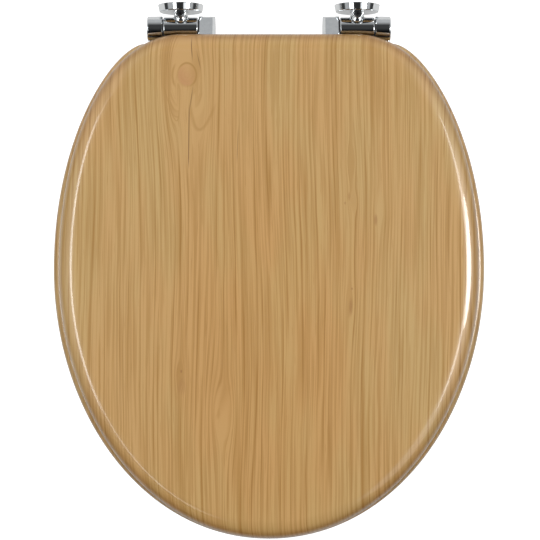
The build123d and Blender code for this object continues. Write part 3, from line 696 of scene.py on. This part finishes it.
def fine_marks_group():
    """Faint cloudy marks: a tone between two colours, its roughness and its height."""
    inputs = sockets("Vector", "Vector") + sockets("Float", "Scale", "Smooth", "Rough")
    inputs += sockets("Color", "Light", "Dark")
    group, given, result = new_group("fine_marks", inputs, FINISH_OUTPUTS)
    cloud = add_node(group, "ShaderNodeTexNoise")
    feed(group, cloud.inputs["Vector"], given["Vector"])
    feed(group, cloud.inputs["Scale"], given["Scale"])
    cloud.inputs["Detail"].default_value = MARK_DETAIL
    noise = cloud.outputs["Fac"]
    share = ease(group, noise, *MARK_SHARE)
    roughness = ease(group, noise, *MARK_ROUGHNESS, given["Smooth"], given["Rough"])
    feed(group, result["Color"], tint(group, share, given["Light"], given["Dark"]))
    feed(group, result["Roughness"], roughness)
    feed(group, result["Height"], noise)
    return group


def shared_group(name, make):
    """A node group that is made once."""
    return bpy.data.node_groups.get(name) or make()


def new_finish(name, group, settings, surface, bump_strength, sunk=False, shift_by=(0.0, 0.0, 0.0)):
    """A material with values on its shader, and with colour, roughness and bump from a node group."""
    finish = bpy.data.materials.new(name)
    finish.use_nodes = True
    tree = finish.node_tree
    shader = tree.nodes["Principled BSDF"]
    where = add_node(tree, "ShaderNodeTexCoord")
    shift = add_node(tree, "ShaderNodeMapping")
    shift.inputs["Location"].default_value = shift_by
    effect = add_node(tree, "ShaderNodeGroup", node_tree=group)
    bump = add_node(tree, "ShaderNodeBump", invert=sunk)
    bump.inputs["Strength"].default_value = bump_strength
    bump.inputs["Distance"].default_value = BUMP_DEPTH
    for socket, value in settings.items():
        effect.inputs[socket].default_value = value
    for socket, value in surface.items():
        shader.inputs[socket].default_value = value
    tree.links.new(where.outputs["Object"], shift.inputs["Vector"])
    tree.links.new(shift.outputs["Vector"], effect.inputs["Vector"])
    tree.links.new(effect.outputs["Height"], bump.inputs["Height"])
    tree.links.new(effect.outputs["Color"], shader.inputs["Base Color"])
    tree.links.new(effect.outputs["Roughness"], shader.inputs["Roughness"])
    tree.links.new(bump.outputs["Normal"], shader.inputs["Normal"])
    return finish


def wood_finish(name, look, shift_by, coat, coat_roughness):
    """Lacquered pine."""
    bend = shared_group("grain_past_knot", grain_past_knot_group)
    grain = shared_group("pine_grain", lambda: pine_grain_group(bend))
    settings = {
        "Light": look.light,
        "Blush": look.blush,
        "Line": look.line,
        "Knot": look.knot,
        "Heartwood": look.heart,
        "Spacing": look.spacing,
    }
    surface = {
        "Coat Weight": coat,
        "Coat Roughness": coat_roughness,
        "Coat IOR": LACQUER_IOR,
        "IOR": LACQUER_IOR,
    }
    return new_finish(name, grain, settings, surface, WOOD_BUMP, True, shift_by)


def plain_finish(name, light, dark, scale, smooth, rough, metallic, bump_strength):
    """A metal, rubber or plastic finish with fine marks."""
    marks = shared_group("fine_marks", fine_marks_group)
    settings = {"Light": light, "Dark": dark, "Scale": scale, "Smooth": smooth, "Rough": rough}
    return new_finish(name, marks, settings, {"Metallic": metallic}, bump_strength)


def deeper(colour, share):
    """A darker copy of a colour."""
    return (colour[0] * share, colour[1] * share, colour[2] * share, 1.0)


def put_on(piece, finish):
    """Gives a piece one finish."""
    piece.data.materials.clear()
    piece.data.materials.append(finish)


class SEAT_OT_lid(Operator):
    """Model the lid panel and give it lacquered pine"""

    bl_idname = "toilet_seat.lid"
    bl_label = "Lid"

    def execute(self, context):
        shape = context.scene.seat_lid_shape
        panel = egg_loop(lid_high.x, lid_high.y, lid_low.y, lid_low.z, shape)
        panel.name = "lid_panel"
        bpy.ops.object.mode_set(mode="EDIT")
        bpy.ops.mesh.select_all(action="SELECT")
        bpy.ops.mesh.edge_face_add()
        wall_top = lid_high.z - shape.shoulder_height
        rise = {"value": (0, 0, wall_top - lid_low.z)}
        bpy.ops.mesh.extrude_region_move(TRANSFORM_OT_translate=rise)
        bpy.ops.mesh.select_all(action="SELECT")
        bpy.ops.mesh.normals_make_consistent(inside=False)
        select_level_faces(wall_top)
        raise_shoulder(shape.shoulder_width, shape.shoulder_height)
        round_rims(lid_low.z, shape.under_round, UNDER_ROUND_STEPS)
        smooth_panel(panel)
        grain_shift = (0.0, 0.0, -lid_high.z)
        put_on(panel, wood_finish("lid_pine", context.scene.seat_wood_look, grain_shift, *LID_COAT))
        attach(panel, "lid")
        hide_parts("lid")
        return {"FINISHED"}


class SEAT_OT_ring(Operator):
    """Model the ring panel and give it lacquered pine"""

    bl_idname = "toilet_seat.ring"
    bl_label = "Ring"

    def execute(self, context):
        shape = context.scene.seat_ring_shape
        opening = context.scene.seat_opening_shape
        inner = egg_loop(
            opening.width / 2,
            ring_high.y - opening.rear_rail,
            ring_low.y + opening.front_rail,
            ring_low.z,
            opening,
        )
        panel = egg_loop(ring_high.x, ring_high.y, ring_low.y, ring_low.z, shape)
        panel.name = "ring_panel"
        inner.select_set(True)
        bpy.ops.object.join()
        bpy.ops.object.mode_set(mode="EDIT")
        bpy.ops.mesh.select_all(action="SELECT")
        bpy.ops.mesh.bridge_edge_loops()
        bpy.ops.mesh.select_all(action="SELECT")
        rise = {"value": (0, 0, ring_high.z - ring_low.z)}
        bpy.ops.mesh.extrude_region_move(TRANSFORM_OT_translate=rise)
        bpy.ops.mesh.select_all(action="SELECT")
        bpy.ops.mesh.normals_make_consistent(inside=False)
        round_rims(ring_high.z, shape.top_round, TOP_ROUND_STEPS)
        round_rims(ring_low.z, shape.under_round, UNDER_ROUND_STEPS)
        smooth_panel(panel)
        grain_shift = (RING_GRAIN_ASIDE, 0.0, -ring_high.z)
        put_on(panel, wood_finish("ring_pine", context.scene.seat_wood_look, grain_shift, *RING_COAT))
        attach(panel, "seat")
        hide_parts("seat_ring")
        return {"FINISHED"}


class SEAT_OT_hinges(Operator):
    """Finish the chrome castings of both hinges"""

    bl_idname = "toilet_seat.hinges"
    bl_label = "Hinge castings"

    def execute(self, context):
        look = context.scene.seat_metal_look
        chrome = plain_finish("chrome_plate", look.chrome, look.chrome_dull, *CHROME_MARKS)
        for side in SIDES:
            for piece in ("hinge_pillar", "lid_arm", "seat_arm"):
                put_on(cad_nodes[side + "_" + piece], chrome)
        return {"FINISHED"}


class SEAT_OT_inner_parts(Operator):
    """Finish the dampers, pins, bushes, gaskets and lock screws"""

    bl_idname = "toilet_seat.inner_parts"
    bl_label = "Dampers, pins and gaskets"

    def execute(self, context):
        look = context.scene.seat_metal_look
        steel = plain_finish("ground_steel", look.steel, deeper(look.steel, STEEL_SHADE), *STEEL_MARKS)
        dark_steel = deeper(look.black_steel, BLACK_STEEL_SHADE)
        black = plain_finish("black_steel", look.black_steel, dark_steel, *BLACK_STEEL_MARKS)
        rubber = plain_finish("black_rubber", look.rubber, deeper(look.rubber, RUBBER_SHADE), *RUBBER_MARKS)
        dark_plastic = deeper(look.plastic, PLASTIC_SHADE)
        plastic = plain_finish("black_plastic", look.plastic, dark_plastic, *PLASTIC_MARKS)
        finishes = {
            "base_gasket": rubber,
            "damper_seal": rubber,
            "lock_screw": black,
            "damper_body": plastic,
            "damper_cap": plastic,
            "pivot_bush": plastic,
            "thrust_washer": plastic,
            "damper_shaft": steel,
            "pivot_pin": steel,
        }
        for side in SIDES:
            for piece, finish in finishes.items():
                put_on(cad_nodes[side + "_" + piece], finish)
        return {"FINISHED"}


class SEAT_OT_buffers(Operator):
    """Finish the buffers under the lid and the ring"""

    bl_idname = "toilet_seat.buffers"
    bl_label = "Buffers"

    def execute(self, context):
        look = context.scene.seat_metal_look
        soft = plain_finish("soft_buffer", look.buffer, deeper(look.buffer, BUFFER_SHADE), *BUFFER_MARKS)
        for side in SIDES:
            for piece in ("seat_buffer_front_", "seat_buffer_rear_", "lid_buffer_"):
                put_on(cad_nodes[piece + side], soft)
        return {"FINISHED"}


def turned_blank(radius, height):
    """A round blank that stands on Z = 0, left in edit mode with its upper face selected."""
    start_clean()
    bpy.ops.mesh.primitive_cylinder_add(
        vertices=SCREW_SIDES, radius=radius, depth=height, location=(0, 0, height / 2)
    )
    bpy.ops.object.transform_apply(location=True, rotation=False, scale=False)
    blank = bpy.context.object
    bpy.ops.object.mode_set(mode="EDIT")
    select_level_faces(height)
    return blank


def draw_up(height, narrowing=1.0):
    """Extrudes the selected face upwards and may make it narrower."""
    bpy.ops.mesh.extrude_region_move(TRANSFORM_OT_translate={"value": (0, 0, height)})
    bpy.ops.transform.resize(value=(narrowing, narrowing, 1))


def cut_recess(screw, shape):
    """Sinks a tapered cross into the lower face of a screw's head."""
    bpy.ops.object.mode_set(mode="OBJECT")
    for turn in (0, math.pi / 2):
        start_clean()
        bpy.ops.mesh.primitive_cube_add(size=1, location=(0, 0, 0), rotation=(0, 0, turn))
        arm = bpy.context.object
        arm.scale = (shape.recess_length, shape.recess_width, 2 * shape.recess_depth)
        bpy.ops.object.transform_apply(location=True, rotation=True, scale=True)
        bpy.ops.object.mode_set(mode="EDIT")
        select_level_faces(shape.recess_depth)
        bpy.ops.transform.resize(value=(RECESS_TAPER, RECESS_TAPER, 1))
        start_clean()
        bpy.context.view_layer.objects.active = screw
        screw.select_set(True)
        cut = screw.modifiers.new("cross_recess", "BOOLEAN")
        cut.operation = "DIFFERENCE"
        cut.object = arm
        bpy.ops.object.modifier_apply(modifier=cut.name)
        bpy.data.objects.remove(arm)
    bpy.ops.object.shade_smooth_by_angle(angle=SCREW_CREASE)


def screws_at(screw, places, name):
    """Copies of a screw at its places, each turned a little more, joined into one piece."""
    copies = []
    for number, place in enumerate(places):
        start_clean()
        screw.select_set(True)
        bpy.context.view_layer.objects.active = screw
        bpy.ops.object.duplicate()
        one = bpy.context.object
        one.location = place
        one.rotation_euler.z = SCREW_TURN * (number + 1)
        bpy.ops.object.transform_apply(location=True, rotation=True, scale=False)
        copies.append(one)
    start_clean()
    for one in copies:
        one.select_set(True)
    bpy.context.view_layer.objects.active = copies[0]
    bpy.ops.object.join()
    copies[0].name = name
    return copies[0]


class SEAT_OT_screws(Operator):
    """Model the screws under the lid and the ring and zinc-plate them"""

    bl_idname = "toilet_seat.screws"
    bl_label = "Screws"

    def execute(self, context):
        shape = context.scene.seat_screw_shape
        look = context.scene.seat_metal_look
        zinc = plain_finish("zinc_plate", look.zinc, deeper(look.zinc, ZINC_SHADE), *ZINC_MARKS)
        for body in ("lid", "seat"):
            for side in SIDES:
                self.arm_screws(shape, zinc, body, side + "_" + body + "_arm_screws")
        self.buffer_screws(shape, zinc, "lid", "lid_buffer_screws", ["lid_buffer_"])
        seat_buffers = ["seat_buffer_front_", "seat_buffer_rear_"]
        self.buffer_screws(shape, zinc, "seat", "seat_buffer_screws", seat_buffers)
        return {"FINISHED"}

    def arm_screws(self, shape, zinc, body, node):
        """Two countersunk screws through an arm's plate."""
        low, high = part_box(node)
        head_height = shape.arm_head - shape.arm_shank
        screw = turned_blank(shape.arm_head, head_height)
        narrowing = shape.arm_shank / shape.arm_head
        bpy.ops.transform.resize(value=(narrowing, narrowing, 1))
        draw_up(high.z - low.z - head_height - shape.arm_tip)
        draw_up(shape.arm_tip, POINT_NARROWING)
        cut_recess(screw, shape)
        middle = (low.x + high.x) / 2
        places = [(middle, y, low.z) for y in (low.y + shape.arm_head, high.y - shape.arm_head)]
        self.fit(screw, places, zinc, body, node)

    def buffer_screws(self, shape, zinc, body, node, buffers):
        """One pan-head screw through each buffer."""
        low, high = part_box(node)
        screw = turned_blank(shape.buffer_head, shape.buffer_head_height)
        bpy.ops.mesh.inset(thickness=shape.buffer_head - shape.buffer_shank)
        chamfer = shape.buffer_shank / 2
        draw_up(high.z - low.z - shape.buffer_head_height - chamfer)
        draw_up(chamfer, END_NARROWING)
        round_rims(0.0, PAN_ROUND, UNDER_ROUND_STEPS)
        cut_recess(screw, shape)
        places = []
        for side in SIDES:
            for buffer in buffers:
                buffer_low, buffer_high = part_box(buffer + side)
                middle = (buffer_low + buffer_high) / 2
                places.append((middle.x, middle.y, low.z))
        self.fit(screw, places, zinc, body, node)

    def fit(self, screw, places, zinc, body, node):
        """Puts copies of a screw in place of a node and deletes the pattern."""
        piece = screws_at(screw, places, node + "_cross_head")
        bpy.data.objects.remove(screw)
        put_on(piece, zinc)
        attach(piece, body)
        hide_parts(node)


def area_light(name, place, size, radiance, shape, colour):
    """A soft light that hangs level and shines down, as bright as its radiance."""
    start_clean()
    bpy.ops.object.light_add(type="AREA", location=place)
    light = bpy.context.object
    light.name = name
    light.data.shape = shape
    light.data.size, light.data.size_y = size
    area = size[0] * size[1] * (math.pi / 4 if shape == "ELLIPSE" else 1.0)
    light.data.energy = radiance * math.pi * area
    light.data.color = colour
    return light


class SEAT_OT_studio(Operator):
    """Set up the floor, the lights and the camera"""

    bl_idname = "toilet_seat.studio"
    bl_label = "Studio"

    def execute(self, context):
        studio = context.scene.seat_studio
        self.lay_floor(studio.floor)
        self.hang_lights(studio)
        self.set_sky(context.scene)
        self.set_camera(context.scene, studio.camera_height)
        context.scene.view_settings.view_transform = "Standard"
        return {"FINISHED"}

    def lay_floor(self, colour):
        """A plain pale floor."""
        start_clean()
        bpy.ops.mesh.primitive_plane_add(size=FLOOR_SIZE, location=(0, 0, 0))
        floor = bpy.context.object
        floor.name = "studio_floor"
        pale = bpy.data.materials.new("pale_floor")
        pale.use_nodes = True
        shader = pale.node_tree.nodes["Principled BSDF"]
        shader.inputs["Base Color"].default_value = colour
        shader.inputs["Roughness"].default_value = FLOOR_ROUGHNESS
        self.glow_for_camera(pale.node_tree, shader)
        put_on(floor, pale)

    def glow_for_camera(self, tree, shader):
        """A glow that the camera sees, and reflections too, which lose it towards the front."""
        path = add_node(tree, "ShaderNodeLightPath")
        shader.inputs["Emission Color"].default_value = (1.0, 1.0, 1.0, 1.0)
        where = add_node(tree, "ShaderNodeTexCoord")
        place = add_node(tree, "ShaderNodeSeparateXYZ")
        tree.links.new(where.outputs["Object"], place.inputs["Vector"])
        behind = ease(tree, place.outputs["Y"], *MIRRORED_GLOW)
        mirrored = times(tree, path.outputs["Is Glossy Ray"], behind)
        glow = calc(tree, "MULTIPLY_ADD", path.outputs["Is Camera Ray"], FLOOR_GLOW, mirrored)
        tree.links.new(glow, shader.inputs["Emission Strength"])

    def hang_lights(self, studio):
        """A key and two strips that only reflections show, and a top light that they don't."""
        key = area_light("key_light", KEY_PLACE, KEY_SIZE, studio.key_level, "ELLIPSE", WARM_WHITE)
        key.visible_diffuse = False
        for aside in (-STRIP_ASIDE, STRIP_ASIDE):
            place = (aside, 0.0, LIGHT_HEIGHT)
            strip = area_light("strip_light", place, STRIP_SIZE, studio.strip_level, "ELLIPSE", COOL_WHITE)
            strip.visible_diffuse = False
        top = area_light("top_light", TOP_PLACE, TOP_SIZE, studio.top_level, "RECTANGLE", WARM_WHITE)
        top.visible_glossy = False

    def set_sky(self, scene):
        """A soft sky, brightest at the rear, with a thin arc at the left and a patch at the front right."""
        sky = bpy.data.worlds.new("studio_sky")
        scene.world = sky
        sky.use_nodes = True
        tree = sky.node_tree
        where = add_node(tree, "ShaderNodeTexCoord")
        way = add_node(tree, "ShaderNodeSeparateXYZ")
        tree.links.new(where.outputs["Generated"], way.inputs["Vector"])
        right = way.outputs["X"]
        rear = way.outputs["Y"]
        up = way.outputs["Z"]
        light = self.broad_sky(tree, right, rear, up)
        arc = stripe(tree, up, SKY_ARC_RISE, SKY_ARC_FALL)
        arc = times(tree, arc, ease(tree, rear, *SKY_ARC_Y))
        light = calc(tree, "MULTIPLY_ADD", arc, ease(tree, right, *SKY_ARC_X), light)
        patch_x = calc(tree, "SUBTRACT", right, PATCH_X)
        patch_y = calc(tree, "SUBTRACT", rear, PATCH_Y)
        patch = squares(tree, patch_x, patch_y)
        light = calc(tree, "ADD", light, ease(tree, patch, *PATCH_END))
        background = tree.nodes["Background"]
        background.inputs["Color"].default_value = SKY_COLOUR
        tree.links.new(light, background.inputs["Strength"])

    def broad_sky(self, tree, right, rear, up):
        """The sky's light without its arc and patch: dim overhead, at the front and low at the sides."""
        part_x = calc(tree, "DIVIDE", right, OVERHEAD_WIDTH)
        part_y = calc(tree, "DIVIDE", rear, OVERHEAD_LENGTH)
        spread = squares(tree, part_x, part_y)
        overhead = ease(tree, spread, *OVERHEAD_END)
        aside = ease(tree, calc(tree, "ABSOLUTE", right), *ASIDE_X)
        aside = times(tree, aside, ease(tree, up, *ASIDE_Z))
        level = calc(tree, "SUBTRACT", 1.0, times(tree, aside, ASIDE_LOSS))
        front = ease(tree, rear, *FRONT_Y)
        light = times(tree, times(tree, overhead, level), front)
        far_rear = ease(tree, rear, *REAR_Y)
        return times(tree, light, times(tree, far_rear, SKY_LEVEL))

    def set_camera(self, scene, height):
        """A camera that looks straight down at the seat."""
        start_clean()
        bpy.ops.object.camera_add(location=(*CAMERA_PLACE, height), rotation=(0, 0, 0))
        camera = bpy.context.object
        camera.name = "photo_camera"
        camera.data.sensor_width = SENSOR_WIDTH
        camera.data.lens = CAMERA_LENS
        scene.camera = camera


class SEAT_PT_panel(Panel):
    """Lists the sizes, the colours and the steps"""

    bl_idname = "SEAT_PT_panel"
    bl_label = "Toilet Seat"
    bl_space_type = "VIEW_3D"
    bl_region_type = "UI"
    bl_category = "Toilet Seat"

    def draw(self, context):
        for holder in SETTINGS:
            settings = getattr(context.scene, holder)
            box = self.layout.box()
            for name in settings.bl_rna.properties.keys():
                if name not in ("rna_type", "name"):
                    box.prop(settings, name)
        for step in STEPS:
            self.layout.operator(step.bl_idname)


SETTINGS = {
    "seat_lid_shape": SeatLidShape,
    "seat_ring_shape": SeatRingShape,
    "seat_opening_shape": SeatOpeningShape,
    "seat_screw_shape": SeatScrewShape,
    "seat_wood_look": SeatWoodLook,
    "seat_metal_look": SeatMetalLook,
    "seat_studio": SeatStudio,
}
STEPS = (
    SEAT_OT_lid,
    SEAT_OT_ring,
    SEAT_OT_hinges,
    SEAT_OT_inner_parts,
    SEAT_OT_buffers,
    SEAT_OT_screws,
    SEAT_OT_studio,
)


def register():
    for holder, settings in SETTINGS.items():
        bpy.utils.register_class(settings)
        setattr(bpy.types.Scene, holder, PointerProperty(type=settings))
    for step in STEPS:
        bpy.utils.register_class(step)
    bpy.utils.register_class(SEAT_PT_panel)


def unregister():
    bpy.utils.unregister_class(SEAT_PT_panel)
    for step in reversed(STEPS):
        bpy.utils.unregister_class(step)
    for holder, settings in reversed(SETTINGS.items()):
        delattr(bpy.types.Scene, holder)
        bpy.utils.unregister_class(settings)


def main():
    register()
    bpy.ops.toilet_seat.lid()
    bpy.ops.toilet_seat.ring()
    bpy.ops.toilet_seat.hinges()
    bpy.ops.toilet_seat.inner_parts()
    bpy.ops.toilet_seat.buffers()
    bpy.ops.toilet_seat.screws()
    bpy.ops.toilet_seat.studio()
    start_clean()


if __name__ == "__main__":
    main()
